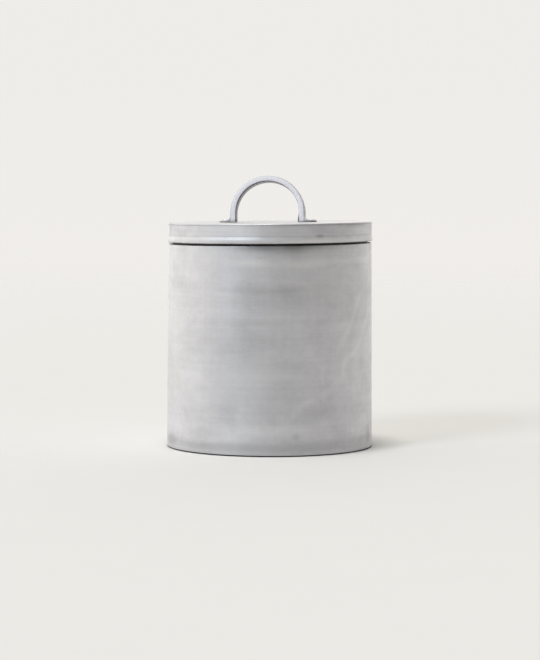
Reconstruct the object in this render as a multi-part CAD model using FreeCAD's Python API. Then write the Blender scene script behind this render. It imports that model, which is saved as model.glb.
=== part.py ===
import FreeCAD, Part
import math
import os

# An empty sheet-metal candle jar with a lift-off lid and a strap handle.
# Millimetres. The origin is the centre of the foot, on the surface that the jar stands on.
# +Z is up through the lid, the handle spans X, and the wall's lap seam is at the back, on +Y.

# Jar wall, a slightly tapered tube of sheet
FOOT_RADIUS = 50.4          # outside, at the bottom
MOUTH_RADIUS = 49.8         # outside, at the shoulder
BODY_HEIGHT = 99.4
BODY_SHEET = 0.9
SHOULDER_ROUND = 0.5        # outside rounding where the wall turns in at the mouth
FOOT_ROUND = 1.0            # outside rounding of the hem at the foot
FOOT_HEM_HEIGHT = 3.4
FOOT_HEM_THICKNESS = 1.9    # the sheet and its turned-up hem together
HEM_LIP_ROUND = 0.3

# Lap seam up the back of the wall
SEAM_LAP_DEGREES = 6.0
SEAM_LAP_THICKNESS = 0.6
SEAM_GROOVE_DEGREES = 0.5
SEAM_GROOVE_DEPTH = 0.35
SEAM_END_GAP = 2.0          # from the lap's ends to the base and to the neck

# Base disc, resting on the foot's hem
BASE_THICKNESS = 0.9

# Neck collar, fixed inside the mouth
COLLAR_RADIUS = 47.6        # outside
COLLAR_SHEET = 0.8
COLLAR_DEPTH = 9.6          # below the top of the jar wall
COLLAR_FLARE_HEIGHT = 1.4
COLLAR_EDGE_ROUND = 0.25

# Lid
LID_GAP = 0.85              # open height between the jar wall and the lid's hem
LID_HEIGHT = 9.45           # from the underside of the hem to the top of the lid
LID_RADIUS = 49.75          # outside of the plain part of the band
LID_SHEET = 0.8
LID_RUNNING_GAP = 0.35      # between the neck and what runs over it
LID_HEM_HEIGHT = 3.4        # the sheet folded back on itself inside, and its swell outside
LID_HEM_PROUD = 0.3         # how far the hem stands out from the band
LID_HEM_SLOPE = 1.6         # height over which the hem swells out of the band
LID_HEM_SLOPE_ROUND = 1.5
LID_HEM_EDGE_ROUND = 0.35
LID_TOP_ROUND = 0.5
LID_JOINT_BEVEL = 0.1       # makes the fine line between the lid's top and its band

# Strap handle
STRAP_WIDTH = 9.0
STRAP_THICKNESS = 2.8
STRAP_ARRIS = 0.55
ARCH_RADIUS = 18.25         # outside of the half-round
HANDLE_HEIGHT = 22.4        # along the arch, from the lid's top
HANDLE_LEAN_DEGREES = 7.0   # the arch leans towards the back
LEG_SPARE = 2.0             # extra leg below the lid's top, cut off once the arch leans
FOOT_THICKNESS = 1.0
FOOT_LENGTH = 5.85          # outward from the leg
HEEL_LENGTH = 0.8           # inward from the leg
FOOT_ARRIS = 0.3

# Rivets and burrs
RIVET_REACH = 2.7           # from the leg's outer face to the rivet
SHANK_RADIUS = 1.2
SHANK_CLEARANCE = 0.05
HEAD_RADIUS = 2.2
HEAD_HEIGHT = 0.45
HEAD_ROUND = 0.4
BURR_RADIUS = 3.0
BURR_THICKNESS = 0.6
PEEN_RADIUS = 1.9
PEEN_HEIGHT = 0.7
PEEN_ROUND = 0.55

# Heights and radii that follow from the driving dimensions
LID_BOTTOM = BODY_HEIGHT + LID_GAP
LID_TOP = LID_BOTTOM + LID_HEIGHT
LID_UNDERSIDE = LID_TOP - LID_SHEET
COLLAR_BOTTOM = BODY_HEIGHT - COLLAR_DEPTH
LID_INSIDE_RADIUS = COLLAR_RADIUS + LID_RUNNING_GAP
BASE_TOP = FOOT_HEM_HEIGHT + BASE_THICKNESS
RIVET_X = ARCH_RADIUS + RIVET_REACH

ORIGIN = FreeCAD.Vector(0, 0, 0)
X_AXIS = FreeCAD.Vector(1, 0, 0)
Y_AXIS = FreeCAD.Vector(0, 1, 0)
Z_AXIS = FreeCAD.Vector(0, 0, 1)


def outline(corners, second_axis=Z_AXIS):
    """A closed face in the plane of X and second_axis, from corners (x, second, rounding)."""
    places = [X_AXIS * corner[0] + second_axis * corner[1] for corner in corners]
    corner_ends = []
    edges = []
    for number, here in enumerate(places):
        rounding = corners[number][2]
        if not rounding:
            corner_ends.append((here, here))
            continue
        back = (places[number - 1] - here).normalize()
        ahead = (places[(number + 1) % len(places)] - here).normalize()
        half_angle = back.getAngle(ahead) / 2
        set_back = rounding / math.tan(half_angle)
        inward = (back + ahead).normalize()
        nearest = here + inward * (rounding / math.sin(half_angle) - rounding)
        start = here + back * set_back
        end = here + ahead * set_back
        corner_ends.append((start, end))
        edges.append(Part.Arc(start, nearest, end).toShape())
    for number, (_, end) in enumerate(corner_ends):
        next_start = corner_ends[(number + 1) % len(corner_ends)][0]
        if end.distanceToPoint(next_start) > 1e-6:
            edges.append(Part.LineSegment(end, next_start).toShape())
    return Part.Face(Part.Wire(Part.__sortEdges__(edges)))


def turned(corners, degrees=360.0):
    """A solid of revolution about Z. A part turn is centred on the back of the jar, +Y."""
    solid = outline(corners).revolve(ORIGIN, Z_AXIS, degrees)
    if degrees < 360:
        solid.rotate(ORIGIN, Z_AXIS, 90 - degrees / 2)
    return solid


def wall_radius(height, depth=0.0):
    """Radius of the tapered wall at a height, measured depth inside its outer face."""
    return FOOT_RADIUS + (MOUTH_RADIUS - FOOT_RADIUS) * height / BODY_HEIGHT - depth


def body_shell():
    turn_in = BODY_HEIGHT - BODY_SHEET
    hem_inside = wall_radius(0, FOOT_HEM_THICKNESS)
    wall = turned([
        (wall_radius(0), 0, FOOT_ROUND),
        (MOUTH_RADIUS, BODY_HEIGHT, SHOULDER_ROUND),
        (COLLAR_RADIUS, BODY_HEIGHT, 0),
        (COLLAR_RADIUS, turn_in, 0),
        (wall_radius(turn_in, BODY_SHEET), turn_in, 0),
        (wall_radius(FOOT_HEM_HEIGHT, BODY_SHEET), FOOT_HEM_HEIGHT, 0),
        (hem_inside, FOOT_HEM_HEIGHT, HEM_LIP_ROUND),
        (hem_inside, 0, HEM_LIP_ROUND),
    ])
    lap_low = BASE_TOP + SEAM_END_GAP
    lap_high = COLLAR_BOTTOM - SEAM_END_GAP
    lap_depth = BODY_SHEET + SEAM_LAP_THICKNESS
    half_sheet = BODY_SHEET / 2
    lap = turned([
        (wall_radius(lap_low, half_sheet), lap_low, 0),
        (wall_radius(lap_high, half_sheet), lap_high, 0),
        (wall_radius(lap_high, lap_depth), lap_high, 0),
        (wall_radius(lap_low, lap_depth), lap_low, 0),
    ], SEAM_LAP_DEGREES)
    groove_low = FOOT_ROUND
    groove_high = BODY_HEIGHT - SHOULDER_ROUND
    groove = turned([
        (wall_radius(groove_low, SEAM_GROOVE_DEPTH), groove_low, 0),
        (wall_radius(groove_low, -1), groove_low, 0),
        (wall_radius(groove_high, -1), groove_high, 0),
        (wall_radius(groove_high, SEAM_GROOVE_DEPTH), groove_high, 0),
    ], SEAM_GROOVE_DEGREES)
    return wall.fuse(lap).removeSplitter().cut(groove)


def base_disc():
    return turned([
        (0, FOOT_HEM_HEIGHT, 0),
        (wall_radius(FOOT_HEM_HEIGHT, BODY_SHEET), FOOT_HEM_HEIGHT, 0),
        (wall_radius(BASE_TOP, BODY_SHEET), BASE_TOP, 0),
        (0, BASE_TOP, 0),
    ])


def neck_collar():
    inside = COLLAR_RADIUS - COLLAR_SHEET
    flare_top = COLLAR_BOTTOM + COLLAR_FLARE_HEIGHT
    return turned([
        (wall_radius(COLLAR_BOTTOM, BODY_SHEET), COLLAR_BOTTOM, 0),
        (wall_radius(COLLAR_BOTTOM + COLLAR_SHEET, BODY_SHEET), COLLAR_BOTTOM + COLLAR_SHEET, 0),
        (COLLAR_RADIUS, flare_top, 0),
        (COLLAR_RADIUS, LID_UNDERSIDE, COLLAR_EDGE_ROUND),
        (inside, LID_UNDERSIDE, COLLAR_EDGE_ROUND),
        (inside, flare_top, 0),
        (COLLAR_RADIUS, COLLAR_BOTTOM, 0),
    ])


def lid_band():
    hem_top = LID_BOTTOM + LID_HEM_HEIGHT
    hem_outside = LID_RADIUS + LID_HEM_PROUD
    band_inside = LID_RADIUS - LID_SHEET
    ledge_bottom = LID_UNDERSIDE - LID_SHEET
    return turned([
        (LID_INSIDE_RADIUS, LID_BOTTOM, LID_HEM_EDGE_ROUND),
        (hem_outside, LID_BOTTOM, LID_HEM_EDGE_ROUND),
        (hem_outside, hem_top - LID_HEM_SLOPE, LID_HEM_SLOPE_ROUND),
        (LID_RADIUS, hem_top, LID_HEM_SLOPE_ROUND),
        (LID_RADIUS, LID_UNDERSIDE - LID_JOINT_BEVEL, 0),
        (LID_RADIUS - LID_JOINT_BEVEL, LID_UNDERSIDE, 0),
        (LID_INSIDE_RADIUS, LID_UNDERSIDE, 0),
        (LID_INSIDE_RADIUS, ledge_bottom, 0),
        (band_inside, ledge_bottom, 0),
        (band_inside, hem_top, 0),
        (LID_INSIDE_RADIUS, hem_top, LID_HEM_EDGE_ROUND),
    ])


def rivet_hole(side):
    """A drill as long as the lid and handle foot together, at the left (-1) or right (1)."""
    bottom = FreeCAD.Vector(side * RIVET_X, 0, LID_UNDERSIDE - BURR_THICKNESS)
    depth = BURR_THICKNESS + LID_SHEET + FOOT_THICKNESS
    return Part.makeCylinder(SHANK_RADIUS + SHANK_CLEARANCE, depth, bottom, Z_AXIS)


def drilled(solid):
    for side in (-1, 1):
        solid = solid.cut(rivet_hole(side))
    return solid


def lid_top():
    disc = turned([
        (0, LID_UNDERSIDE, 0),
        (LID_RADIUS - LID_JOINT_BEVEL, LID_UNDERSIDE, 0),
        (LID_RADIUS, LID_UNDERSIDE + LID_JOINT_BEVEL, 0),
        (LID_RADIUS, LID_TOP, LID_TOP_ROUND),
        (0, LID_TOP, 0),
    ])
    return drilled(disc)


def handle_foot(side):
    """A flat spade-ended tab that lies on the lid, outward from one leg."""
    inner = ARCH_RADIUS - STRAP_THICKNESS - HEEL_LENGTH
    tip_centre = ARCH_RADIUS + FOOT_LENGTH - STRAP_WIDTH / 2
    half_width = STRAP_WIDTH / 2
    tab = outline([
        (side * inner, -half_width, 0),
        (side * (tip_centre + half_width), -half_width, half_width),
        (side * (tip_centre + half_width), half_width, half_width),
        (side * inner, half_width, 0),
    ], Y_AXIS)
    foot = tab.extrude(Z_AXIS * FOOT_THICKNESS)
    top_edges = [edge for edge in foot.Edges
                 if edge.BoundBox.ZMin > FOOT_THICKNESS - 1e-6]
    foot = foot.makeFillet(FOOT_ARRIS, top_edges)
    foot.translate(Z_AXIS * LID_TOP)
    return foot


def handle():
    arch_centre = Z_AXIS * (LID_TOP + HANDLE_HEIGHT - ARCH_RADIUS)
    leg_length = HANDLE_HEIGHT - ARCH_RADIUS + LEG_SPARE
    half_width = STRAP_WIDTH / 2
    section = outline([
        (ARCH_RADIUS - STRAP_THICKNESS, -half_width, STRAP_ARRIS),
        (ARCH_RADIUS, -half_width, STRAP_ARRIS),
        (ARCH_RADIUS, half_width, STRAP_ARRIS),
        (ARCH_RADIUS - STRAP_THICKNESS, half_width, STRAP_ARRIS),
    ], Y_AXIS)
    section.translate(arch_centre)
    far_section = section.copy()
    far_section.rotate(ORIGIN, Z_AXIS, 180)
    arch = section.revolve(arch_centre, Y_AXIS, -180)
    legs = [end.extrude(Z_AXIS * -leg_length) for end in (section, far_section)]
    strap = arch.fuse(legs)
    strap.rotate(Z_AXIS * LID_TOP, X_AXIS, -HANDLE_LEAN_DEGREES)
    lid_space = Part.makeCylinder(LID_RADIUS, 2 * LEG_SPARE, Z_AXIS * (LID_TOP - 2 * LEG_SPARE))
    feet = [handle_foot(side) for side in (-1, 1)]
    return drilled(strap.cut(lid_space).fuse(feet).removeSplitter())


def rivet(side):
    """A low-headed rivet: head on the handle's foot, peened over the burr inside the lid."""
    head_seat = LID_TOP + FOOT_THICKNESS
    peen_seat = LID_UNDERSIDE - BURR_THICKNESS
    solid = turned([
        (0, peen_seat - PEEN_HEIGHT, 0),
        (PEEN_RADIUS, peen_seat - PEEN_HEIGHT, PEEN_ROUND),
        (PEEN_RADIUS, peen_seat, 0),
        (SHANK_RADIUS, peen_seat, 0),
        (SHANK_RADIUS, head_seat, 0),
        (HEAD_RADIUS, head_seat, 0),
        (HEAD_RADIUS, head_seat + HEAD_HEIGHT, HEAD_ROUND),
        (0, head_seat + HEAD_HEIGHT, 0),
    ])
    solid.translate(X_AXIS * side * RIVET_X)
    return solid


def burr(side):
    """A plain washer under the lid."""
    bottom = FreeCAD.Vector(side * RIVET_X, 0, LID_UNDERSIDE - BURR_THICKNESS)
    washer = Part.makeCylinder(BURR_RADIUS, BURR_THICKNESS, bottom, Z_AXIS)
    return washer.cut(rivet_hole(side))


pieces = {
    "body_shell": body_shell(),
    "base_disc": base_disc(),
    "neck_collar": neck_collar(),
    "lid_band": lid_band(),
    "lid_top": lid_top(),
    "handle": handle(),
    "rivet_left": rivet(-1),
    "rivet_right": rivet(1),
    "burr_left": burr(-1),
    "burr_right": burr(1),
}

os.makedirs("parts", exist_ok=True)
for name, piece in pieces.items():
    piece.exportStep(f"parts/{name}.step")
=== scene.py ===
import math

import bmesh
import bpy
from mathutils import Matrix, Vector, noise


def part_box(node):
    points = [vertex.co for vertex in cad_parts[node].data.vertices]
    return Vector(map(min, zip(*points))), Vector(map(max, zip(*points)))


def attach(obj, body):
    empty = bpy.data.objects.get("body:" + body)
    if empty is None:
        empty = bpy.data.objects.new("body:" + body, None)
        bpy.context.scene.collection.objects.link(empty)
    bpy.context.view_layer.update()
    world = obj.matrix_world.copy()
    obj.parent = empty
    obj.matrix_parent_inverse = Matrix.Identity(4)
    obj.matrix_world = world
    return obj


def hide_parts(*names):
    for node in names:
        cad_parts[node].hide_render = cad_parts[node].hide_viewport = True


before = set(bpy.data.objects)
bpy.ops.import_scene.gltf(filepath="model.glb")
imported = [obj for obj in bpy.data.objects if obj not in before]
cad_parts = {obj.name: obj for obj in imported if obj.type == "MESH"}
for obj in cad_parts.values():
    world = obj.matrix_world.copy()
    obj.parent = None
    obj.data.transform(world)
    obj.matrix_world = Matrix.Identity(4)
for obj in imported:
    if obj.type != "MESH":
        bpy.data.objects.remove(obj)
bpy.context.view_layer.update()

# An empty sheet-metal candle jar: a rolled wall with a hemmed foot, a neck let into its mouth,
# a shallow lid that slips over the neck, and a strap handle riveted to the lid.
# Metres. -Y is the front, +Y the back, where the wall's seam is.

MM = 0.001
BACK = math.radians(90)

# ---------------------------------------------------------------- sizes taken from the frame

WALL_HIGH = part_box("body_shell")[1]
BASE_LOW, BASE_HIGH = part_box("base_disc")
NECK_LOW, NECK_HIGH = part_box("neck_collar")
BAND_LOW, BAND_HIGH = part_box("lid_band")
PLATE_LOW, PLATE_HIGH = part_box("lid_top")

FOOT_RADIUS = WALL_HIGH.x
WALL_TOP = WALL_HIGH.z
MOUTH_RADIUS = FOOT_RADIUS - 0.6 * MM
FOOT_HEM = 1.9 * MM            # thickness of the wall's folded lower edge
SHEET = 0.9 * MM               # thickness of the wall
NECK_RADIUS = 47.6 * MM
NECK_SHEET = 0.8 * MM
SLIP = 0.35 * MM               # play between the neck and the lid
HEM_RADIUS = BAND_HIGH.x
BAND_RADIUS = PLATE_HIGH.x
BAND_INSIDE = NECK_RADIUS + SLIP
LID_SHEET = PLATE_HIGH.z - PLATE_LOW.z
LID_TOP = PLATE_HIGH.z
HEM_TOP = BAND_LOW.z + 3.4 * MM
HEM_SLOPE = 1.6 * MM           # height over which the hem swells out of the band
PLATE_BEVEL = 0.1 * MM         # leaves a fine groove where the lid's top meets its band
MOUTH_TILT = math.radians(0.55)      # the mouth was cut a little lower on the left
TILT_START = 20 * MM           # the wall below this height stands true


# ---------------------------------------------------------------- shaping sheet metal

def rounded_profile(corners, longest_run=2.0 * MM, arc_steps=6):
    """Points round a closed cross-section whose corners are (radius, height, rounding)."""
    places = [Vector((radius, height)) for radius, height, _ in corners]
    stretches = []
    for number, here in enumerate(places):
        rounding = corners[number][2]
        if not rounding:
            stretches.append([here])
            continue
        back = (places[number - 1] - here).normalized()
        ahead = (places[(number + 1) % len(places)] - here).normalized()
        half_angle = back.angle(ahead) / 2
        start = here + back * (rounding / math.tan(half_angle))
        centre = here + (back + ahead).normalized() * (rounding / math.sin(half_angle))
        sweep = (here + ahead * (start - here).length - centre).angle_signed(start - centre)
        turns = [Matrix.Rotation(sweep * step / arc_steps, 2) for step in range(arc_steps + 1)]
        stretches.append([centre + turn @ (start - centre) for turn in turns])
    points = []
    for number, stretch in enumerate(stretches):
        points += stretch
        run_end = stretches[(number + 1) % len(stretches)][0]
        run = run_end - points[-1]
        cuts = math.ceil(run.length / longest_run)
        points += [run_end - run * (1 - cut / cuts) for cut in range(1, cuts)]
    return points


def even_angles(count, extra=()):
    """Angles round the jar, evenly spread, with extra ones where the form needs them."""
    return sorted([step * math.tau / count for step in range(count)] + list(extra))


def finished_mesh(name, mesh_being_made, sharp_degrees=35):
    """Turns a bmesh into a named object with clean outward faces and smooth shading."""
    bmesh.ops.remove_doubles(mesh_being_made, verts=mesh_being_made.verts, dist=1e-7)
    bmesh.ops.recalc_face_normals(mesh_being_made, faces=mesh_being_made.faces)
    mesh = bpy.data.meshes.new(name)
    mesh_being_made.to_mesh(mesh)
    mesh_being_made.free()
    mesh.shade_smooth()
    mesh.set_sharp_from_angle(angle=math.radians(sharp_degrees))
    piece = bpy.data.objects.new(name, mesh)
    bpy.context.scene.collection.objects.link(piece)
    return piece


def spun(name, profile, angles, worked=None, centre=(0, 0)):
    """Spins a closed cross-section about an upright axis.
    worked(radius, height, angle) returns the radius and height that the hand has left there."""
    making = bmesh.new()
    columns = []
    for angle in angles:
        column = []
        for radius, height in profile:
            if worked:
                radius, height = worked(radius, height, angle)
            x = centre[0] + radius * math.cos(angle)
            y = centre[1] + radius * math.sin(angle)
            column.append(making.verts.new((x, y, height)))
        columns.append(column)
    for number, column in enumerate(columns):
        following = columns[(number + 1) % len(columns)]
        for step in range(len(profile)):
            after = (step + 1) % len(profile)
            making.faces.new((column[step], following[step], following[after], column[after]))
    return finished_mesh(name, making)


def unevenness(radius, height, angle, size, seed=0.0):
    """A smooth random value from -1 to 1 that changes over about the given size."""
    place = Vector((radius * math.cos(angle), radius * math.sin(angle), height + seed))
    return noise.noise(place / size)


def tilted(piece, share=lambda height: 1):
    """Tips a piece with the jar's mouth. share(height) is 1 where it tips fully."""
    for vertex in piece.data.vertices:
        place = vertex.co
        place.z += math.tan(MOUTH_TILT) * place.x * share(place.z)
    return piece


def faded(value, low, high):
    """0 below low, 1 above high and smooth between. It falls instead if low is above high."""
    share = min(max((value - low) / (high - low), 0), 1)
    return share * share * (3 - 2 * share)


def between(value, low, high, run):
    """1 between low and high and 0 outside them, with a smooth run inside each end."""
    return faded(value, low, low + run) * faded(value, high, high - run)


# ---------------------------------------------------------------- the jar

SEAM_LAP_HALF = 2.6 * MM      # inside, the seam's lap stands proud over this half width
SEAM_LAP_RISE = 0.6 * MM
SEAM_GROOVE = 0.3 * MM        # outside, the lap's edge is a fine groove
SEAM_GROOVE_HALF = 0.22 * MM
WALL_WAVE = 0.22 * MM         # how far the hand-rolled wall dips below its true round


def wall_radius(height):
    return FOOT_RADIUS + (MOUTH_RADIUS - FOOT_RADIUS) * height / WALL_TOP


def worked_wall(radius, height, angle):
    """The wall's slight hand-rolled waviness, and its seam at the back."""
    outer = wall_radius(height)
    away_from_neck = faded(radius, NECK_RADIUS, outer - SHEET)
    off_the_floor = faded(height, 0, 4 * MM)
    wave = (unevenness(radius, height * 0.6, angle, 34 * MM)
            + 0.25 * unevenness(radius, height, angle, 11 * MM, seed=0.3) - 1)
    radius += WALL_WAVE / 2 * wave * away_from_neck * off_the_floor
    across = abs(angle - BACK) * FOOT_RADIUS
    lap_low, lap_high = BASE_HIGH.z + 1 * MM, NECK_LOW.z - 1 * MM
    if radius > outer - SHEET / 2:
        in_height = between(height, 1 * MM, WALL_TOP - 1.5 * MM, 1 * MM)
        radius -= SEAM_GROOVE * in_height * faded(across, 2 * SEAM_GROOVE_HALF, 0)
    elif lap_low < height < lap_high:
        in_height = between(height, lap_low, lap_high, 1.5 * MM)
        in_width = faded(across, SEAM_LAP_HALF + 0.25 * MM, SEAM_LAP_HALF)
        radius -= SEAM_LAP_RISE * in_height * in_width
    return radius, max(height, 0)


def jar_wall():
    """The rolled wall, with its hem inside the foot and its mouth turned in to the neck."""
    hem_height = BASE_LOW.z
    hem_inside = FOOT_RADIUS - FOOT_HEM
    turn_in = WALL_TOP - SHEET
    profile = rounded_profile([
        (FOOT_RADIUS, 0, 1.0 * MM),
        (MOUTH_RADIUS, WALL_TOP, 0.5 * MM),
        (NECK_RADIUS, WALL_TOP, 0),
        (NECK_RADIUS, turn_in, 0),
        (wall_radius(turn_in) - SHEET, turn_in, 0),
        (wall_radius(hem_height) - SHEET, hem_height, 0),
        (hem_inside, hem_height, 0.3 * MM),
        (hem_inside, 0, 0.3 * MM),
    ])
    beside_seam = [offset * MM / FOOT_RADIUS for offset in
                   (0.1, 0.22, 0.34, 0.5, 1.4, 2.4, 2.55, 2.7, 2.9)]
    seam_angles = [BACK + side * offset for offset in beside_seam for side in (-1, 1)]
    wall = spun("jar_wall", profile, even_angles(240, seam_angles), worked_wall)
    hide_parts("body_shell")
    return tilted(wall, lambda height: faded(height, TILT_START, WALL_TOP))


def jar_base():
    """The flat base, pressed very slightly hollow."""
    edge = BASE_HIGH.x
    profile = rounded_profile([
        (0, BASE_LOW.z, 0),
        (edge, BASE_LOW.z, 0),
        (edge, BASE_HIGH.z, 0),
        (0, BASE_HIGH.z, 0),
    ], longest_run=3 * MM)

    def pressed(radius, height, angle):
        from_edge = faded(radius, edge, edge - 12 * MM)
        sag = 0.25 * MM * from_edge * (1 + 0.6 * unevenness(radius, height, angle, 25 * MM))
        return radius, height + (sag if height < BASE_LOW.z + 0.1 * MM else sag * 0.5)

    base = spun("jar_base", profile, even_angles(120), pressed)
    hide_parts("base_disc")
    return base


def neck():
    """The inner neck. Its foot is flared out to the wall, and its rim is filed round."""
    inside = NECK_RADIUS - NECK_SHEET
    low, high = NECK_LOW.z, NECK_HIGH.z
    flare = wall_radius(low) - SHEET
    flare_edge_top = low + 0.8 * MM
    flare_top = low + 1.4 * MM
    profile = rounded_profile([
        (flare, low, 0.1 * MM),
        (flare, flare_edge_top, 0.3 * MM),
        (NECK_RADIUS, flare_top, 0.4 * MM),
        (NECK_RADIUS, high, 0.25 * MM),
        (inside, high, 0.25 * MM),
        (inside, flare_top, 0.4 * MM),
        (NECK_RADIUS, low, 0.2 * MM),
    ], longest_run=1.5 * MM)
    ring = spun("neck", profile, even_angles(200))
    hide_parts("neck_collar")
    return tilted(ring)


def solder_bead(name, corner_radius, corner_height, inward, upward):
    """A ring of solder run into a corner, wider in places, as an iron leaves it."""
    def run_in(radius, height, angle):
        fullness = 0.72 + 0.28 * unevenness(corner_radius, 0, angle, 9 * MM, seed=corner_height)
        return (corner_radius + (radius - corner_radius) * fullness,
                corner_height + (height - corner_height) * fullness)

    hollow_face = ((1, 0), (0.62, 0.14), (0.36, 0.36), (0.14, 0.62), (0, 1))
    profile = [(corner_radius, corner_height)]
    profile += [(corner_radius + inward * along, corner_height + upward * up)
                for along, up in hollow_face]
    bead = spun(name, profile, even_angles(180), run_in)
    return tilted(bead) if corner_height > WALL_TOP / 2 else bead


# ---------------------------------------------------------------- the lid

def lid_skirt():
    """The lid's band. Its lower edge is folded back inside, and swells a little outside."""
    ledge = PLATE_LOW.z - LID_SHEET
    inside = BAND_RADIUS - LID_SHEET
    edge = 0.35 * MM
    profile = rounded_profile([
        (BAND_INSIDE, BAND_LOW.z, edge),
        (HEM_RADIUS, BAND_LOW.z, edge),
        (HEM_RADIUS, HEM_TOP - HEM_SLOPE, 1.5 * MM),
        (BAND_RADIUS, HEM_TOP, 0.9 * MM),
        (BAND_RADIUS, PLATE_LOW.z - PLATE_BEVEL, 0),
        (BAND_RADIUS - PLATE_BEVEL, PLATE_LOW.z, 0),
        (BAND_INSIDE, PLATE_LOW.z, 0),
        (BAND_INSIDE, ledge, 0.2 * MM),
        (inside, ledge, 0),
        (inside, HEM_TOP, 0.2 * MM),
        (BAND_INSIDE, HEM_TOP, edge),
    ], longest_run=1.2 * MM)

    def beaten(radius, height, angle):
        on_the_outside = faded(radius, BAND_INSIDE + 0.6 * MM, BAND_RADIUS)
        below_the_plate = faded(height, PLATE_LOW.z, PLATE_LOW.z - 2 * MM)
        wave = unevenness(radius, height * 2, angle, 26 * MM, seed=0.7) - 1
        return radius + 0.05 * MM * wave * on_the_outside * below_the_plate, height

    band = spun("lid_skirt", profile, even_angles(240), beaten)
    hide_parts("lid_band")
    return tilted(band)


def lid_plate():
    """The lid's flat top, a little out of true."""
    profile = rounded_profile([
        (0, PLATE_LOW.z, 0),
        (BAND_RADIUS - PLATE_BEVEL, PLATE_LOW.z, 0),
        (BAND_RADIUS, PLATE_LOW.z + PLATE_BEVEL, 0),
        (BAND_RADIUS, LID_TOP, 0.45 * MM),
        (0, LID_TOP, 0),
    ])

    def pressed(radius, height, angle):
        dip = unevenness(radius, 0, angle, 30 * MM, seed=0.5) - 1
        on_top = faded(height, PLATE_LOW.z + PLATE_BEVEL, LID_TOP)
        return radius, height + 0.06 * MM * dip * on_top * faded(radius, 0, 10 * MM)

    plate = spun("lid_plate", profile, even_angles(240), pressed)
    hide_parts("lid_top")
    return tilted(plate)


# ---------------------------------------------------------------- the handle and its rivets

ARCH_RADIUS = 18.25 * MM
STRAP_THICK = 2.8 * MM
STRAP_HALF = 4.5 * MM
LEG_TOP = 4.15 * MM           # above the lid, where the legs turn into the arch
FOOT_THICK = 1.0 * MM
STRAP_LEAN = math.radians(7)
FOOT_REACH = 5.85 * MM        # from a leg's outer face to its foot's tip
TIP_CENTRE = ARCH_RADIUS + FOOT_REACH - STRAP_HALF
HEEL_SPREAD = {-1: 0.15, 1: 0.65}    # millimetres that each heel was beaten out inwards
HANDLE_SET = -1.05 * MM       # it was riveted on a little to the left
RIVET_SHANK = 1.2 * MM        # radius through the foot and the lid
RIVET_PEEN = 1.9 * MM         # radius where it is peened over the burr


def strap_side(side):
    """Stations from one foot's tip up to the leg's top: (outer, inner, half width, arris).
    outer and inner are points across the strap's thickness, beside and above the lid."""
    stations = []
    for turn in range(1, 7):
        lean = math.radians(90 - 15 * turn)
        reach = TIP_CENTRE + STRAP_HALF * math.sin(lean)
        thick = FOOT_THICK * (1 - 0.3 * math.sin(lean))
        stations.append(((reach, thick), (reach, 0), STRAP_HALF * math.cos(lean), 0.25 * MM))
    heel = HEEL_SPREAD[side]
    # In millimetres, from the foot's flat part up into the leg: outer, inner, arris.
    bend = [
        ((19.8, 1.05), (19.4, 0.0), 0.28),
        ((19.0, 1.35), (18.2, 0.0), 0.32),
        ((18.5, 1.8), (17.1, 0.0), 0.38),
        ((18.3, 2.3), (15.7, 0.0), 0.45),
        ((18.25, 2.7), (15.45 - heel, 0.1), 0.5),
        ((18.25, 3.0), (15.5 - heel, 0.8), 0.5),
        ((18.25, 3.35), (15.45 - heel * 0.7, 1.7), 0.5),
        ((18.25, 3.7), (15.45 - heel * 0.25, 3.0), 0.5),
    ]
    for outer, inner, arris in bend:
        stations.append((Vector(outer) * MM, Vector(inner) * MM, STRAP_HALF, arris * MM))
    return [((side * outer[0], outer[1]), (side * inner[0], inner[1]), half, arris)
            for outer, inner, half, arris in stations]


def strap_stations():
    """Stations along the whole strap, from the right foot over the arch to the left foot."""
    stations = strap_side(1)
    arch_steps = 30
    for step in range(arch_steps + 1):
        angle = math.pi * step / arch_steps
        ray = Vector((math.cos(angle), math.sin(angle)))
        rise = Vector((0, LEG_TOP))
        stations.append((ray * ARCH_RADIUS + rise, ray * (ARCH_RADIUS - STRAP_THICK) + rise,
                         STRAP_HALF, 0.5 * MM))
    return stations + strap_side(-1)[::-1]


def strap_section(half, thick, arris):
    """The strap's rounded-rectangle section: pairs of (share of thickness, offset across)."""
    arris = min(arris, thick * 0.4, half * 0.4)
    depth = arris / thick
    flat = half - arris
    cut = 0.29                # how much of its corner a rounded arris takes off
    corner = [(depth, half), (depth * cut, half - arris * cut), (0, flat)]
    half_face = corner + [(0, flat * 0.33)]
    outer_face = half_face + [(share, -across) for share, across in reversed(half_face)]
    return outer_face + [(1 - share, -across) for share, across in outer_face]


def strap_handle():
    """The bent strap: two flattened feet, two legs and a half-round arch, as one loft."""
    making = bmesh.new()
    rings = []
    for outer, inner, half, arris in strap_stations():
        outer, inner = Vector(outer), Vector(inner)
        ring = []
        for share, across in strap_section(half, (outer - inner).length, arris):
            x, up = outer.lerp(inner, share)
            wobble = 0.05 * MM * noise.noise(Vector((x, across, up)) / (6 * MM))
            lean = STRAP_LEAN * faded(up, 0.6 * MM, 3 * MM)
            y = across * math.cos(lean) + up * math.sin(lean)
            z = up * math.cos(lean) - across * math.sin(lean)
            if up > 0:
                x += wobble
                z += wobble
            ring.append(making.verts.new((x + HANDLE_SET, y + wobble, LID_TOP + max(z, 0))))
        rings.append(ring)
    count = len(rings[0])
    for ring, following in zip(rings, rings[1:]):
        for step in range(count):
            after = (step + 1) % count
            making.faces.new((ring[step], ring[after], following[after], following[step]))
    for end in (rings[0], rings[-1]):
        making.faces.new(end)
    strap = finished_mesh("strap_handle", making, sharp_degrees=80)
    smoother = strap.modifiers.new("smooth_strap", "SUBSURF")
    smoother.levels = 2
    smoother.render_levels = 2
    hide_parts("handle")
    return tilted(strap)


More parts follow.
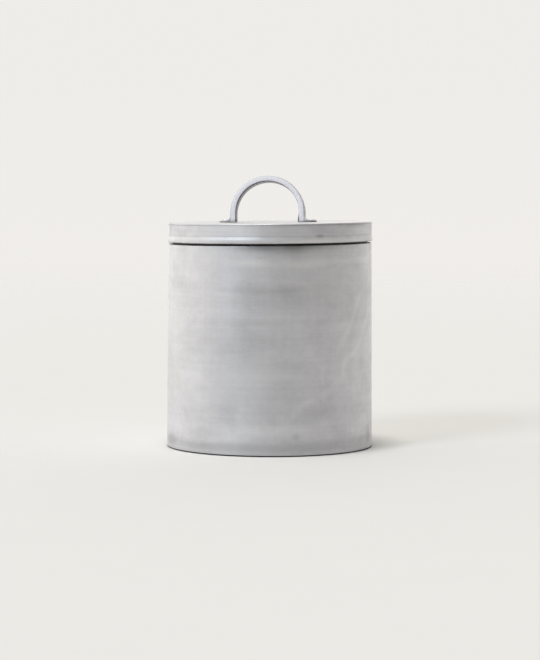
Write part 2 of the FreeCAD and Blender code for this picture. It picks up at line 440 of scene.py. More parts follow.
def rivet(side):
    """A low hammered head on the handle's foot, and the peened end inside the lid."""
    node = "rivet_left" if side < 0 else "rivet_right"
    low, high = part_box(node)
    seat = LID_TOP + FOOT_THICK
    burr_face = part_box("burr_left")[0].z
    head = (high.x - low.x) / 2
    steps = 7
    dome = [math.radians(90 * step / steps) for step in range(1, steps + 1)]
    profile = [Vector((0, low.z))]
    profile += [Vector((RIVET_PEEN * math.sin(a), burr_face - (burr_face - low.z) * math.cos(a)))
                for a in dome]
    profile += [Vector((RIVET_SHANK, burr_face)), Vector((RIVET_SHANK, seat))]
    profile += [Vector((head * math.sin(a), seat + (high.z - seat) * math.cos(a)))
                for a in reversed(dome)]
    profile += [Vector((0, high.z))]

    def hammered(radius, height, angle):
        blow = unevenness(radius, height, angle, 1.3 * MM, seed=side * 0.1) - 0.6
        on_the_head = faded(height, seat, high.z) * faded(radius, 0, 0.6 * MM)
        return radius, height + 0.07 * MM * min(blow, 0) * on_the_head

    made = spun(node + "_head", profile, even_angles(40), hammered,
                centre=((low.x + high.x) / 2 + HANDLE_SET, 0))
    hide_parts(node)
    return tilted(made)


def burr(side):
    """The washer under each rivet's peened end, with its stamped edge rolled over."""
    node = "burr_left" if side < 0 else "burr_right"
    low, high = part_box(node)
    edge = (high.x - low.x) / 2
    hole = RIVET_SHANK + 0.05 * MM
    profile = rounded_profile([
        (hole, low.z, 0.08 * MM),
        (edge, low.z, 0.22 * MM),
        (edge, high.z, 0.05 * MM),
        (hole, high.z, 0.05 * MM),
    ], longest_run=1 * MM, arc_steps=4)
    made = spun(node + "_washer", profile, even_angles(48),
                centre=((low.x + high.x) / 2 + HANDLE_SET, 0))
    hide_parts(node)
    return tilted(made)


# ---------------------------------------------------------------- shader building blocks

def plug(tree, socket, value):
    """Links a node's output to the socket, or sets the socket's own value."""
    if isinstance(value, bpy.types.NodeSocket):
        tree.links.new(value, socket)
    else:
        socket.default_value = value


def add_node(tree, kind, inputs=None, **settings):
    """A new shader node, with its inputs linked or set."""
    made = tree.nodes.new("ShaderNode" + kind)
    for name, value in settings.items():
        setattr(made, name, value)
    for name, value in (inputs or {}).items():
        plug(tree, made.inputs[name], value)
    return made


def calc(tree, operation, *values, clamp=False):
    """The output of a Math node."""
    made = add_node(tree, "Math", operation=operation, use_clamp=clamp)
    for socket, value in zip(made.inputs, values):
        plug(tree, socket, value)
    return made.outputs[0]


def ease(tree, value, low, high, to_low=0.0, to_high=1.0):
    """A smooth step from to_low at low to to_high at high."""
    made = add_node(tree, "MapRange", interpolation_type="SMOOTHSTEP")
    for name, setting in (("Value", value), ("From Min", low), ("From Max", high),
                          ("To Min", to_low), ("To Max", to_high)):
        plug(tree, made.inputs[name], setting)
    return made.outputs["Result"]


def hypotenuse(tree, across, up):
    """The length of the slope over two sides at right angles."""
    squares = [calc(tree, "MULTIPLY", side, side) for side in (across, up)]
    return calc(tree, "SQRT", calc(tree, "ADD", *squares))


def blend_colour(tree, share, first, second):
    made = add_node(tree, "Mix", data_type="RGBA")
    plug(tree, made.inputs["Factor"], share)
    plug(tree, made.inputs[6], first)
    plug(tree, made.inputs[7], second)
    return made.outputs[2]


def new_group(name, inputs, outputs):
    """An effect's node group with its named sockets: (tree, sockets in, sockets out)."""
    tree = bpy.data.node_groups.new(name, "ShaderNodeTree")
    for label, default in inputs.items():
        socket = tree.interface.new_socket(label, in_out="INPUT", socket_type="NodeSocketFloat")
        socket.default_value = default
    for label in outputs:
        tree.interface.new_socket(label, in_out="OUTPUT", socket_type="NodeSocketFloat")
    return tree, tree.nodes.new("NodeGroupInput").outputs, tree.nodes.new("NodeGroupOutput").inputs


def place(tree, group, **values):
    """Places an effect in a material; its settings are named as its sockets, with _ for a space."""
    made = add_node(tree, "Group", node_tree=group)
    for name, value in values.items():
        plug(tree, made.inputs[name.replace("_", " ")], value)
    return made.outputs


def surface_point(tree):
    """The x, y and z of the surface point, from the middle of the jar's foot."""
    point = add_node(tree, "TexCoord").outputs["Object"]
    return add_node(tree, "SeparateXYZ", {"Vector": point}).outputs


def object_place(tree, round_scale=1.0, up_scale=1.0, seed=0.0):
    """The surface point, scaled apart round the jar and up it, for a noise texture."""
    parts = surface_point(tree)
    made = add_node(tree, "CombineXYZ")
    plug(tree, made.inputs[0], calc(tree, "MULTIPLY_ADD", parts[0], round_scale, seed))
    plug(tree, made.inputs[1], calc(tree, "MULTIPLY", parts[1], round_scale))
    plug(tree, made.inputs[2], calc(tree, "MULTIPLY", parts[2], up_scale))
    return made.outputs[0]


def noise_value(tree, place_of_point, detail=3.0, roughness=0.5, distortion=0.0):
    made = add_node(tree, "TexNoise", {
        "Vector": place_of_point, "Scale": 1.0, "Detail": detail,
        "Roughness": roughness, "Distortion": distortion})
    return made.outputs[0]


# ---------------------------------------------------------------- shared effects

def make_unrolled():
    """Where a point would be if the wall were unrolled: its distance round from the front
    (to the left is negative) and its height. Upright is 1 on the jar's wall and the lid's
    band and 0 on the flat base and lid top, where this unrolling would pinch."""
    tree, _, result = new_group("unrolled", {}, ("Round", "Up", "Upright"))
    x, y, z = surface_point(tree)
    bearing = calc(tree, "ARCTAN2", x, calc(tree, "MULTIPLY", y, -1.0))
    plug(tree, result["Round"], calc(tree, "MULTIPLY", bearing, FOOT_RADIUS))
    plug(tree, result["Up"], z)
    plug(tree, result["Upright"], ease(tree, hypotenuse(tree, x, y),
                                       MOUTH_RADIUS - 3.5 * MM, MOUTH_RADIUS - 1.2 * MM))
    return tree


def make_clouding():
    """Zinc that has clouded: broad pale and dark patches with finer ones inside them."""
    tree, given, result = new_group(
        "clouding", {"Round scale": 22.0, "Up scale": 34.0, "Seed": 0.0},
        ("Broad", "Fine"))
    broad_place = object_place(tree, given["Round scale"], given["Up scale"], given["Seed"])
    broad = noise_value(tree, broad_place, detail=4, roughness=0.55, distortion=0.5)
    fine_round = calc(tree, "MULTIPLY", given["Round scale"], 5.5)
    fine_up = calc(tree, "MULTIPLY", given["Up scale"], 5.5)
    fine_place = object_place(tree, fine_round, fine_up, given["Seed"])
    fine = noise_value(tree, fine_place, detail=6, roughness=0.65)
    plug(tree, result["Broad"], ease(tree, broad, 0.3, 0.7))
    plug(tree, result["Fine"], ease(tree, fine, 0.28, 0.72))
    return tree


def make_streaks():
    """Long fine marks: round the jar if Up scale is the larger, down it if Round scale is."""
    tree, given, result = new_group(
        "streaks", {"Round scale": 12.0, "Up scale": 900.0, "Seed": 0.0}, ("Streak",))
    where = object_place(tree, given["Round scale"], given["Up scale"], given["Seed"])
    plug(tree, result["Streak"], noise_value(tree, where, detail=4, roughness=0.6))
    return tree


def make_height_band():
    """A band round the piece: 1 within Half width of the height Centre, fading over Softness."""
    tree, given, result = new_group(
        "height_band", {"Ragged": 0.5, "Centre": 0.0, "Half width": 0.001, "Softness": 0.002,
                        "Raggedness": 0.0}, ("Mask",))
    x, _, z = surface_point(tree)
    tip = calc(tree, "MULTIPLY", math.tan(MOUTH_TILT),
               calc(tree, "MULTIPLY", x, ease(tree, z, TILT_START, WALL_TOP)))
    shift = calc(tree, "MULTIPLY", calc(tree, "SUBTRACT", given["Ragged"], 0.5),
                 given["Raggedness"])
    height = calc(tree, "SUBTRACT", calc(tree, "ADD", z, shift), tip)
    off = calc(tree, "ABSOLUTE", calc(tree, "SUBTRACT", height, given["Centre"]))
    outer = calc(tree, "ADD", given["Half width"], given["Softness"])
    plug(tree, result["Mask"], ease(tree, off, given["Half width"], outer, 1.0, 0.0))
    return tree


def make_smudge():
    """A soft patch with a broken edge, round a point of the unrolled wall."""
    tree, given, result = new_group(
        "smudge", {"Round": 0.0, "Up": 0.0, "Ragged": 0.5, "Centre round": 0.0,
                   "Centre up": 0.05, "Half width": 0.01, "Half height": 0.01,
                   "Raggedness": 0.8}, ("Mask",))
    round_share = calc(tree, "DIVIDE", calc(tree, "SUBTRACT", given["Round"],
                                            given["Centre round"]), given["Half width"])
    up_share = calc(tree, "DIVIDE", calc(tree, "SUBTRACT", given["Up"], given["Centre up"]),
                    given["Half height"])
    edge = calc(tree, "MULTIPLY_ADD", calc(tree, "SUBTRACT", given["Ragged"], 0.5),
                calc(tree, "MULTIPLY", given["Raggedness"], 2.0),
                hypotenuse(tree, round_share, up_share))
    plug(tree, result["Mask"], ease(tree, edge, 0.1, 1.1, 1.0, 0.0))
    return tree


def make_wipe():
    """A thin curved mark, as a wet cloth leaves it, between two points of the unrolled wall.
    Bow is how far its middle stands off the straight line, to the left of its direction."""
    tree, given, result = new_group(
        "wipe", {"Round": 0.0, "Up": 0.0, "Ragged": 0.5, "Start round": 0.0, "Start up": 0.0,
                 "End round": 0.01, "End up": 0.01, "Bow": 0.0, "Half width": 0.001}, ("Mask",))
    run = calc(tree, "SUBTRACT", given["End round"], given["Start round"])
    rise = calc(tree, "SUBTRACT", given["End up"], given["Start up"])
    length = hypotenuse(tree, run, rise)
    from_start = calc(tree, "SUBTRACT", given["Round"], given["Start round"])
    above_start = calc(tree, "SUBTRACT", given["Up"], given["Start up"])
    along = calc(tree, "ADD", calc(tree, "MULTIPLY", from_start, run),
                 calc(tree, "MULTIPLY", above_start, rise))
    along = calc(tree, "DIVIDE", along, calc(tree, "MULTIPLY", length, length))
    across = calc(tree, "SUBTRACT", calc(tree, "MULTIPLY", above_start, run),
                  calc(tree, "MULTIPLY", from_start, rise))
    across = calc(tree, "DIVIDE", across, length)
    to_end = calc(tree, "SUBTRACT", 1.0, along)
    bowed = calc(tree, "MULTIPLY", calc(tree, "MULTIPLY", along, to_end),
                 calc(tree, "MULTIPLY", given["Bow"], 4.0))
    off = calc(tree, "ABSOLUTE", calc(tree, "SUBTRACT", across, bowed))
    line = ease(tree, off, 0.0, given["Half width"], 1.0, 0.0)
    ends = calc(tree, "MULTIPLY", ease(tree, along, 0.0, 0.25),
                ease(tree, along, 0.75, 1.0, 1.0, 0.0))
    broken = ease(tree, given["Ragged"], 0.3, 0.65, 0.45, 1.0)
    plug(tree, result["Mask"], calc(tree, "MULTIPLY", calc(tree, "MULTIPLY", line, ends),
                                    broken))
    return tree


def make_pits():
    """Sparse small pits: a few of the cells of a fine honeycomb have one."""
    tree, given, result = new_group(
        "pits", {"Spacing": 0.004, "Size": 0.12, "Share": 0.12}, ("Mask",))
    scale = calc(tree, "DIVIDE", 1.0, given["Spacing"])
    cells = add_node(tree, "TexVoronoi", {"Vector": object_place(tree), "Scale": scale})
    chance = add_node(tree, "SeparateColor", {"Color": cells.outputs["Color"]}).outputs[0]
    chosen = calc(tree, "LESS_THAN", chance, given["Share"])
    pit = ease(tree, cells.outputs["Distance"], calc(tree, "MULTIPLY", given["Size"], 0.4),
               given["Size"], 1.0, 0.0)
    plug(tree, result["Mask"], calc(tree, "MULTIPLY", chosen, pit))
    return tree


def make_strap_faces():
    """Masks for the inner and outer faces of the handle's bent strap, for the painted shade line
    along the inner face's front arris, and for the feet."""
    tree, _, result = new_group("strap_faces", {}, ("Inside", "Outside", "Arris", "Feet"))
    x, y, z = surface_point(tree)
    aside = calc(tree, "SUBTRACT", x, HANDLE_SET)
    above_lid = calc(tree, "SUBTRACT", z, LID_TOP)
    plug(tree, result["Feet"], ease(tree, above_lid, 0.5 * MM, 1.7 * MM, 1.0, 0.0))
    up = calc(tree, "ADD", calc(tree, "MULTIPLY", above_lid, math.cos(STRAP_LEAN)),
              calc(tree, "MULTIPLY", y, math.sin(STRAP_LEAN)))
    up = calc(tree, "MAXIMUM", calc(tree, "SUBTRACT", up, LEG_TOP), 0.0)
    radius = hypotenuse(tree, aside, up)
    inner = ARCH_RADIUS - STRAP_THICK
    plug(tree, result["Inside"], ease(tree, radius, inner + 0.02 * MM, inner + 0.2 * MM,
                                      1.0, 0.0))
    plug(tree, result["Outside"], ease(tree, radius, ARCH_RADIUS - 0.75 * MM,
                                       ARCH_RADIUS - 0.3 * MM))
    across = calc(tree, "SUBTRACT", calc(tree, "MULTIPLY", y, math.cos(STRAP_LEAN)),
                  calc(tree, "MULTIPLY", above_lid, math.sin(STRAP_LEAN)))
    near_front = ease(tree, across, 2.6 * MM - STRAP_HALF, 1.4 * MM - STRAP_HALF)
    near_inside = ease(tree, radius, inner + 0.05 * MM, inner + 0.3 * MM, 1.0, 0.0)
    plug(tree, result["Arris"], calc(tree, "MULTIPLY", near_front, near_inside))
    return tree


UNROLLED = make_unrolled()
CLOUDING = make_clouding()
STREAKS = make_streaks()
HEIGHT_BAND = make_height_band()
SMUDGE = make_smudge()
WIPE = make_wipe()
PITS = make_pits()
STRAP_FACES = make_strap_faces()


# ---------------------------------------------------------------- materials

ZINC_PALE = (0.745, 0.737, 0.772, 1)
ZINC_DARK = (0.545, 0.54, 0.562, 1)
# Dark tarnish. The same colour paints shade under the lid's rim, in the lid's crease, groove and
# top corner, on the neck and in front of the handle's feet.
TARNISH_AND_PAINTED_SHADE = (0.27, 0.268, 0.275, 1)
# Near-black: grime at the foot, and painted shade in the gap under the lid, on the neck there and
# along the foot's contact with the floor.
GRIME_AND_PAINTED_SHADE = (0.05, 0.042, 0.036, 1)
# The pale bloom colour also paints a faint highlight just above the foot.
WATER_BLOOM_AND_PAINTED_HIGHLIGHT = (0.86, 0.85, 0.86, 1)       # the white bloom that water leaves on zinc


def sheet_material(name, metallic, build):
    """A metal material. build(tree) returns its colour, roughness, height and bump strength."""
    material = bpy.data.materials.new(name)
    material.use_nodes = True
    tree = material.node_tree
    tree.nodes.clear()
    colour, roughness, height, bump_strength = build(tree)
    bump = add_node(tree, "Bump", {"Strength": bump_strength, "Distance": 0.001,
                                   "Height": height})
    shader = add_node(tree, "BsdfPrincipled", {
        "Base Color": colour, "Roughness": roughness, "Metallic": metallic,
        "Normal": bump.outputs[0]})
    add_node(tree, "OutputMaterial", {"Surface": shader.outputs[0]})
    return material


def marked(tree, colour, mask, amount, other):
    """colour, mixed by amount towards other where the mask says."""
    return blend_colour(tree, calc(tree, "MULTIPLY", mask, amount, clamp=True), colour, other)


def centred(tree, value, strength):
    """A texture's value about 0 instead of about 0.5, times strength."""
    return calc(tree, "MULTIPLY", calc(tree, "SUBTRACT", value, 0.5), strength)


def total(tree, *values):
    result = values[0]
    for value in values[1:]:
        result = calc(tree, "ADD", result, value)
    return result


def clouded_sheet(tree, pale, dark, seed, rings=1.0):
    """The zinc sheet that the wall and the lid share: colour, roughness and height."""
    cloud = place(tree, CLOUDING, Seed=seed)
    mottle = noise_value(tree, object_place(tree, 420, 520, seed), detail=2, roughness=0.7)
    round_marks = place(tree, STREAKS, Seed=seed)["Streak"]
    soft_rings = place(tree, STREAKS, Round_scale=5.0, Up_scale=110.0, Seed=seed)["Streak"]
    down_marks = place(tree, STREAKS, Round_scale=420.0, Up_scale=9.0, Seed=seed)["Streak"]
    shifts = [centred(tree, texture, strength) for texture, strength in (
        (cloud["Broad"], 0.4), (cloud["Fine"], 0.22), (soft_rings, 0.8 * rings),
        (round_marks, 0.3), (down_marks, 0.3), (mottle, 0.3))]
    share = total(tree, 0.36, *shifts)
    colour = blend_colour(tree, calc(tree, "ADD", share, 0.0, clamp=True), pale, dark)
    roughness = total(tree, 0.46, centred(tree, cloud["Fine"], 0.1),
                      centred(tree, round_marks, 0.12))
    height = total(tree, calc(tree, "MULTIPLY", round_marks, 0.02),
                   calc(tree, "MULTIPLY", down_marks, 0.012),
                   calc(tree, "MULTIPLY", cloud["Fine"], 0.03))
    return colour, roughness, height


def arc(bearing):
    """Distance round the wall to a bearing in degrees, with the front at 0."""
    return math.radians(bearing) * FOOT_RADIUS


def smudges(tree, where, ragged, patches, raggedness=0.7):
    """The sum of soft patches, each (bearing, height, half width, half height, strength),
    with its sizes in millimetres."""
    masks = []
    for bearing, height, half_width, half_height, strength in patches:
        mask = place(tree, SMUDGE, Round=where["Round"], Up=where["Up"], Ragged=ragged,
                     Centre_round=arc(bearing), Centre_up=height * MM,
                     Half_width=half_width * MM, Half_height=half_height * MM,
                     Raggedness=raggedness)["Mask"]
        masks.append(calc(tree, "MULTIPLY", mask, strength))
    return calc(tree, "MULTIPLY", total(tree, *masks), where["Upright"])


def wipes(tree, where, ragged, lines):
    """The sum of thin curved marks, each (start bearing, start height, end bearing,
    end height, bow, half width, strength), with its sizes in millimetres."""
    masks = []
    for start, start_height, end, end_height, bow, half_width, strength in lines:
        mask = place(tree, WIPE, Round=where["Round"], Up=where["Up"], Ragged=ragged,
                     Start_round=arc(start), Start_up=start_height * MM, End_round=arc(end),
                     End_up=end_height * MM, Bow=bow * MM, Half_width=half_width * MM)["Mask"]
        masks.append(calc(tree, "MULTIPLY", mask, strength))
    return total(tree, *masks)


def banded(tree, colour, ragged, bands):
    """colour with bands round the piece, each (height, half width, softness, raggedness,
    amount, other colour)."""
    for centre, half_width, softness, raggedness, amount, other in bands:
        mask = place(tree, HEIGHT_BAND, Ragged=ragged, Centre=centre, Half_width=half_width,
                     Softness=softness, Raggedness=raggedness)["Mask"]
        colour = marked(tree, colour, mask, amount, other)
    return colour


# Patches and wiped marks, as smudges and wipes list them. The last row of each table is at the
# sides and the back.

SHADED_RIM = ((6, 100.2, 38, 5.0, 0.84), (20, 99, 9, 8, 0.24), (8, 98.5, 44, 8, 0.08))
WALL_CLOUDS = (
    (4, 75, 18, 11, 0.15), (19, 75, 8, 8, 0.1), (-4, 78.5, 34, 2.6, 0.12), (-8, 72, 9, 30, 0.13),
    (-10, 63, 30, 2.4, 0.1), (-8, 54, 22, 7, 0.13), (-20, 60, 20, 2.2, 0.08), (58, 64, 5, 14, 0.12),
    (-18, 32, 15, 26, 0.14), (36, 21, 15, 6, 0.15), (-17, 20, 7, 9, 0.14), (-33, 10, 12, 4, 0.12),
    (20, 9.3, 3, 2.6, 0.22), (45, 13, 6, 5, 0.12), (60, 7, 14, 3, 0.2), (77, 7, 6, 6, 0.35),
    (-25, 4, 26, 3, 0.17), (-66, 5, 9, 4, 0.35),
    (150, 40, 16, 12, 0.2), (-120, 22, 14, 9, 0.2), (-160, 70, 10, 16, 0.2),
)
WALL_BLOOMS = (
    (14, 91.5, 40, 3.2, 0.42), (66, 92, 22, 3, 0.3), (-3, 91.5, 9, 3, 0.2),
    (38, 86, 24, 15, 0.22), (5, 66.5, 26, 2.2, 0.1), (-62, 52, 18, 42, 0.22),
    (-3, 37, 20, 12, 0.08), (28, 34, 10, 8, 0.08), (10, 12, 20, 4.5, 0.3), (-30, 8, 14, 2.4, 0.1),
    (110, 60, 14, 20, 0.12), (-95, 50, 12, 22, 0.12),
)
WALL_WIPES = (
    (67.3, 80, 42, 45.5, 1.5, 2.6, 0.34), (78.4, 93, 74.5, 58, 1.5, 2.2, 0.26),
    (75, 66, 51, 43, 2.5, 2.8, 0.34), (54, 47, 50, 35.5, -1.6, 2.2, 0.4),
    (53, 39.5, 30, 25.5, 0.6, 2.6, 0.22), (33, 28, 15, 16.5, -1.4, 2.8, 0.28),
    (37.5, 46, 36, 32, -1.2, 1.8, 0.22),
    (175, 62, 140, 30, 6, 2.6, 0.3), (-140, 80, -170, 44, -5, 2.4, 0.25),
)
# Tarnish low on the wall, a faint pale line just above the foot that is a painted highlight, and
# painted contact shade with grime where the foot meets the floor.
WALL_BANDS = (
    (3 * MM, 1.2 * MM, 4.5 * MM, 4 * MM, 0.3, TARNISH_AND_PAINTED_SHADE),
    (2.0 * MM, 0.1 * MM, 0.8 * MM, 0.5 * MM, 0.12, WATER_BLOOM_AND_PAINTED_HIGHLIGHT),
    (0.0, 0.5 * MM, 0.3 * MM, 0.3 * MM, 0.97, GRIME_AND_PAINTED_SHADE),
)


def jar_sheet(tree):
    colour, roughness, height = clouded_sheet(tree, ZINC_PALE, ZINC_DARK, 0.0)
    where = place(tree, UNROLLED)
    ragged = noise_value(tree, object_place(tree, 60, 210), detail=7, roughness=0.66)
    for patches, raggedness, other in (
            (WALL_BLOOMS, 0.7, WATER_BLOOM_AND_PAINTED_HIGHLIGHT), (WALL_CLOUDS, 0.7, TARNISH_AND_PAINTED_SHADE), (SHADED_RIM, 0.25, TARNISH_AND_PAINTED_SHADE)):
        mask = smudges(tree, where, ragged, patches, raggedness)
        colour = marked(tree, colour, mask, 1.0, other)
    colour = marked(tree, colour, wipes(tree, where, ragged, WALL_WIPES), 1.0, WATER_BLOOM_AND_PAINTED_HIGHLIGHT)
    pits = place(tree, PITS)["Mask"]
    colour = marked(tree, colour, pits, 0.35, TARNISH_AND_PAINTED_SHADE)
    colour = banded(tree, colour, ragged, WALL_BANDS)
    height = calc(tree, "SUBTRACT", height, calc(tree, "MULTIPLY", pits, 0.08))
    return colour, roughness, height, 0.5


# Tarnish clouds on the lid. The rows at 109.4 and 109 mm paint shade along the lid's top corner
# right of the middle, and the row at -16 degrees is painted shade that dims a glint on the hem.
LID_CLOUDS_AND_PAINTED_SHADE = (
    (34, 104, 3, 1.2, 0.45), (24, 109.4, 30, 1.6, 0.2), (33, 107, 8, 3, 0.2),
    (60, 109, 14, 1.4, 0.25), (-16, 102, 10, 2.8, 0.2), (-70, 107, 4, 4, 0.3),
    (140, 106, 20, 3, 0.3),
)
LID_BLOOMS = (
    (-8, 106, 16, 6, 0.3), (66, 105.5, 16, 5, 0.4), (42, 102, 34, 3, 0.6), (24, 102, 24, 2.8, 0.3),
)
LID_RAGGED = 0.5 * MM
# Painted shade in the crease above the hem, in the groove round the lid's top and along its top
# corner, a paler line on the hem, and painted shade along its lower edge at the gap under the lid.
LID_BANDS = (
    (HEM_TOP + 0.1 * MM, 0.1 * MM, 0.5 * MM, LID_RAGGED, 0.13, TARNISH_AND_PAINTED_SHADE),
    (PLATE_LOW.z, 0.05 * MM, 0.3 * MM, LID_RAGGED, 0.3, TARNISH_AND_PAINTED_SHADE),
    (LID_TOP, 0.05 * MM, 0.5 * MM, LID_RAGGED, 0.25, TARNISH_AND_PAINTED_SHADE),
    (BAND_LOW.z + 1.9 * MM, 0.5 * MM, 0.8 * MM, LID_RAGGED, 0.2, WATER_BLOOM_AND_PAINTED_HIGHLIGHT),
    (BAND_LOW.z, 0.1 * MM, 0.4 * MM, LID_RAGGED, 0.6, GRIME_AND_PAINTED_SHADE),
)
# Place across the lid, and amount, of the painted shadow in front of each of the handle's feet.
PAINTED_SHADE_BY_FEET = ((-21 * MM, 0.35), (21 * MM, 0.75))       # place across the lid, and amount


def lid_sheet(tree):
    colour, roughness, height = clouded_sheet(tree, ZINC_PALE, ZINC_DARK, 7.0, 0.6)
    where = place(tree, UNROLLED)
    ragged = noise_value(tree, object_place(tree, 130, 300), detail=6, roughness=0.62)
    colour = marked(tree, colour, smudges(tree, where, ragged, LID_BLOOMS), 1.0, WATER_BLOOM_AND_PAINTED_HIGHLIGHT)
    colour = marked(tree, colour, smudges(tree, where, ragged, LID_CLOUDS_AND_PAINTED_SHADE), 1.0, TARNISH_AND_PAINTED_SHADE)
    x, y, z = surface_point(tree)
    on_top = ease(tree, z, LID_TOP - 0.55 * MM, LID_TOP - 0.35 * MM)
    # Painted shadow and dark reflection of each of the handle's feet on the lid's top, in front of
    # the foot.
    for across, amount in PAINTED_SHADE_BY_FEET:
        painted_foot_shade = place(tree, SMUDGE, Round=x, Up=y, Ragged=ragged, Centre_round=across,
                      Centre_up=-8 * MM, Half_width=7 * MM, Half_height=16 * MM,
                      Raggedness=0.3)["Mask"]
        colour = marked(tree, colour, calc(tree, "MULTIPLY", painted_foot_shade, on_top), amount, TARNISH_AND_PAINTED_SHADE)
    colour = banded(tree, colour, ragged, LID_BANDS)
    return colour, calc(tree, "ADD", roughness, 0.08), height, 0.5


def neck_sheet_in_painted_shade(tree):
    # The neck's sheet is painted darker than the wall as shade inside the mouth, and near-black as
    # painted shade where it lies in the gap under the lid.
    colour, roughness, height = clouded_sheet(tree, ZINC_DARK, TARNISH_AND_PAINTED_SHADE, 4.0)
    ragged = noise_value(tree, object_place(tree, 130, 300), detail=6, roughness=0.62)
    groove = place(tree, HEIGHT_BAND, Ragged=ragged, Centre=WALL_TOP + 0.4 * MM,
                   Half_width=1.2 * MM, Softness=2.5 * MM, Raggedness=1 * MM)["Mask"]
    colour = marked(tree, colour, groove, 1.0, GRIME_AND_PAINTED_SHADE)
    return colour, calc(tree, "ADD", roughness, 0.1), height, 0.5


def strap_metal(tree):
    cloud = place(tree, CLOUDING, Round_scale=90.0, Up_scale=90.0, Seed=2.0)
    filed = place(tree, STREAKS, Round_scale=700.0, Up_scale=120.0, Seed=2.0)["Streak"]
    share = total(tree, 0.22, centred(tree, cloud["Broad"], 0.2),
                  centred(tree, cloud["Fine"], 0.18), centred(tree, filed, 0.22))
    colour = blend_colour(tree, calc(tree, "ADD", share, 0.0, clamp=True),
                          (0.90, 0.89, 0.945, 1), (0.80, 0.79, 0.835, 1))
    faces = place(tree, STRAP_FACES)
    # Painted shade: darker along the strap's outer face and its inner face, and a near-black
    # painted shade line along the inner face's front arris. The feet are darkened too.
    colour = marked(tree, colour, faces["Outside"], 0.6, (0.36, 0.355, 0.37, 1))
    colour = marked(tree, colour, faces["Inside"], 0.8, (0.40, 0.395, 0.39, 1))
    colour = marked(tree, colour, faces["Arris"], 0.9, (0.05, 0.048, 0.052, 1))
    colour = marked(tree, colour, faces["Feet"], 0.35, TARNISH_AND_PAINTED_SHADE)
    roughness = calc(tree, "MULTIPLY_ADD", cloud["Fine"], 0.12, 0.5)
    height = total(tree, calc(tree, "MULTIPLY", cloud["Fine"], 0.012),
                   calc(tree, "MULTIPLY", filed, 0.006))
    return colour, roughness, height, 0.4


def rivet_metal(tree):
    cloud = place(tree, CLOUDING, Round_scale=300.0, Up_scale=300.0, Seed=5.0)
    colour = blend_colour(tree, cloud["Fine"], ZINC_PALE, ZINC_DARK)
    roughness = calc(tree, "MULTIPLY_ADD", cloud["Fine"], 0.15, 0.4)
    return colour, roughness, calc(tree, "MULTIPLY", cloud["Fine"], 0.04), 0.5


def solder_metal(tree):
    cloud = place(tree, CLOUDING, Round_scale=200.0, Up_scale=200.0, Seed=9.0)
    colour = blend_colour(tree, cloud["Fine"], ZINC_PALE, ZINC_DARK)
    roughness = calc(tree, "MULTIPLY_ADD", cloud["Broad"], 0.2, 0.25)
    return colour, roughness, calc(tree, "MULTIPLY", cloud["Fine"], 0.1), 0.6


# ---------------------------------------------------------------- putting it together

JAR_SHEET = sheet_material("zinc_jar_sheet", 0.9, jar_sheet)
LID_SHEET_METAL = sheet_material("zinc_lid_sheet", 0.9, lid_sheet)
NECK_METAL_IN_PAINTED_SHADE = sheet_material("neck_sheet_painted_shade", 0.8, neck_sheet_in_painted_shade)
STRAP_METAL = sheet_material("pale_strap_metal", 0.15, strap_metal)
RIVET_METAL = sheet_material("hammered_rivet_metal", 0.9, rivet_metal)
SOLDER = sheet_material("run_solder", 0.9, solder_metal)


def dress(piece, body, material):
    piece.data.materials.clear()
    piece.data.materials.append(material)
    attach(piece, body)


dress(jar_wall(), "jar", JAR_SHEET)
dress(jar_base(), "jar", JAR_SHEET)
dress(neck(), "jar", NECK_METAL_IN_PAINTED_SHADE)
dress(solder_bead("neck_solder", NECK_RADIUS, WALL_TOP, 0.5 * MM, 0.3 * MM),
      "jar", SOLDER)
dress(solder_bead("base_solder", wall_radius(BASE_HIGH.z) - SHEET, BASE_HIGH.z,
                  -1.2 * MM, 0.9 * MM), "jar", SOLDER)
dress(lid_skirt(), "lid", LID_SHEET_METAL)
dress(lid_plate(), "lid", LID_SHEET_METAL)
dress(solder_bead("lid_solder", BAND_INSIDE, PLATE_LOW.z, -0.9 * MM, -0.7 * MM),
      "lid", SOLDER)
dress(strap_handle(), "lid", STRAP_METAL)
for side_of_lid in (-1, 1):
    dress(rivet(side_of_lid), "lid", RIVET_METAL)
    dress(burr(side_of_lid), "lid", RIVET_METAL)


# ---------------------------------------------------------------- floor, light and camera

FLOOR_NEAR = 0.5              # the floor starts to melt into the background here
FLOOR_FAR = 2.6


def pale_floor():
    """A pale round floor whose far edge melts into the background."""
    making = bmesh.new()
    bmesh.ops.create_circle(making, cap_ends=True, radius=FLOOR_FAR + 0.1, segments=96)
    mesh = bpy.data.meshes.new("floor")
    making.to_mesh(mesh)
    making.free()
    floor = bpy.data.objects.new("floor", mesh)
    bpy.context.scene.collection.objects.link(floor)
    material = bpy.data.materials.new("pale_floor")
    material.use_nodes = True
    tree = material.node_tree
    tree.nodes.clear()
    point = add_node(tree, "TexCoord").outputs["Object"]
    far = add_node(tree, "VectorMath", {0: point}, operation="LENGTH").outputs["Value"]
    paper = noise_value(tree, object_place(tree, 25, 25), detail=4)
    colour = blend_colour(tree, paper, (0.617, 0.612, 0.602, 1), (0.627, 0.622, 0.612, 1))
    shader = add_node(tree, "BsdfPrincipled", {
        "Base Color": colour, "Roughness": 0.9, "Specular IOR Level": 0.1})
    clear = add_node(tree, "BsdfTransparent")
    mix = add_node(tree, "MixShader", {
        0: ease(tree, far, FLOOR_NEAR, FLOOR_FAR), 1: shader.outputs[0], 2: clear.outputs[0]})
    add_node(tree, "OutputMaterial", {"Surface": mix.outputs[0]})
    mesh.materials.append(material)


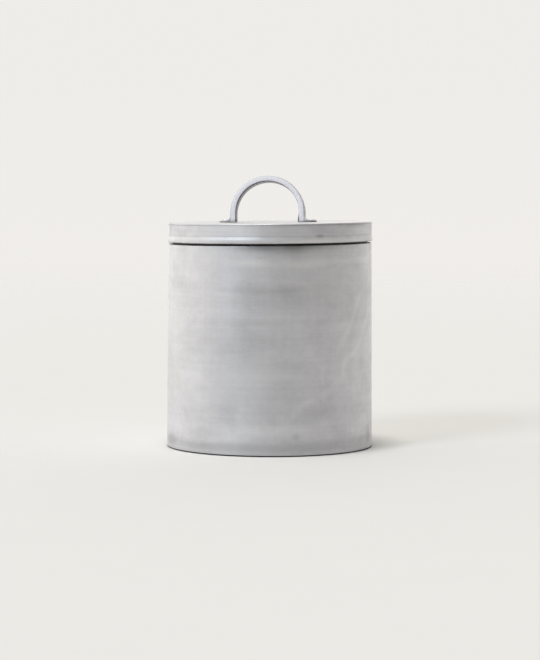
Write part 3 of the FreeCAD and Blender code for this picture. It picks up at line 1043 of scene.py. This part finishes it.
def studio_world():
    """Pale surroundings: dim on the camera's side, bright behind and most of all to the left."""
    world = bpy.data.worlds.new("studio")
    bpy.context.scene.world = world
    world.use_nodes = True
    tree = world.node_tree
    tree.nodes.clear()
    way = add_node(tree, "TexCoord").outputs["Generated"]
    strength = 0.2            # on the camera's side
    bright_parts = (((-0.73, 0.65, 0.2), -0.22, 1.0, 1.27), ((0.52, 0.84, 0.15), 0.3, 1.0, 0.48))
    for towards, low, high, amount in bright_parts:
        facing = add_node(tree, "VectorMath", {0: way, 1: towards}, operation="DOT_PRODUCT")
        strength = calc(tree, "ADD", strength,
                        ease(tree, facing.outputs["Value"], low, high, 0.0, amount))
    up = add_node(tree, "SeparateXYZ", {"Vector": way}).outputs[2]
    overhead = ease(tree, up, 0.4, 0.85)
    strength = add_node(tree, "Mix", {0: overhead, 2: strength, 3: 0.30}).outputs[0]
    seen = add_node(tree, "LightPath").outputs["Is Camera Ray"]
    surround = add_node(tree, "Background", {"Color": (1.0, 0.975, 0.915, 1),
                                             "Strength": strength})
    horizon = blend_colour(tree, ease(tree, up, -0.04, 0.04), (0.876, 0.852, 0.823, 1),
                           (0.855, 0.842, 0.812, 1))
    backdrop = add_node(tree, "Background", {"Color": horizon, "Strength": 1.0})
    mix = add_node(tree, "MixShader", {0: seen, 1: surround.outputs[0], 2: backdrop.outputs[0]})
    add_node(tree, "OutputWorld", {"Surface": mix.outputs[0]})


def soft_sun(name, towards, strength, spread_degrees, colour):
    """A broad distant light. towards is the way that its light travels."""
    light = bpy.data.lights.new(name, "SUN")
    light.energy = strength
    light.angle = math.radians(spread_degrees)
    light.color = colour
    lamp = bpy.data.objects.new(name, light)
    lamp.rotation_mode = "QUATERNION"
    lamp.rotation_quaternion = Vector(towards).to_track_quat("-Z", "Y")
    bpy.context.scene.collection.objects.link(lamp)


CAMERA_DISTANCE = 1.150       # level, from the jar's axis
CAMERA_HEIGHT = 0.133
CAMERA_BEARING = 5.5          # degrees round to the right of the handle's own front
CAMERA_PITCH = 3.795
CAMERA_AIM = -0.005           # degrees that it turns aside from the jar's axis
CAMERA_ROLL = 0.15
CAMERA_LENS = 128.2


def camera():
    data = bpy.data.cameras.new("camera")
    data.lens = CAMERA_LENS
    data.sensor_width = 36
    data.clip_end = 50
    made = bpy.data.objects.new("camera", data)
    bearing = math.radians(CAMERA_BEARING)
    stand = Vector((CAMERA_DISTANCE * math.sin(bearing), -CAMERA_DISTANCE * math.cos(bearing),
                    CAMERA_HEIGHT))
    made.matrix_world = (Matrix.Translation(stand)
                         @ Matrix.Rotation(bearing + math.radians(CAMERA_AIM), 4, "Z")
                         @ Matrix.Rotation(math.radians(90 - CAMERA_PITCH), 4, "X")
                         @ Matrix.Rotation(math.radians(CAMERA_ROLL), 4, "Z"))
    bpy.context.scene.collection.objects.link(made)
    bpy.context.scene.camera = made


pale_floor()
studio_world()
soft_sun("key", (0.60, 0.80, -0.60), 1.0, 20, (0.80, 0.92, 1.0))
soft_sun("top", (0.05, 0.1, -1.0), 2.2, 18, (1.0, 0.98, 0.95))
camera()
bpy.context.scene.view_settings.view_transform = "Standard"
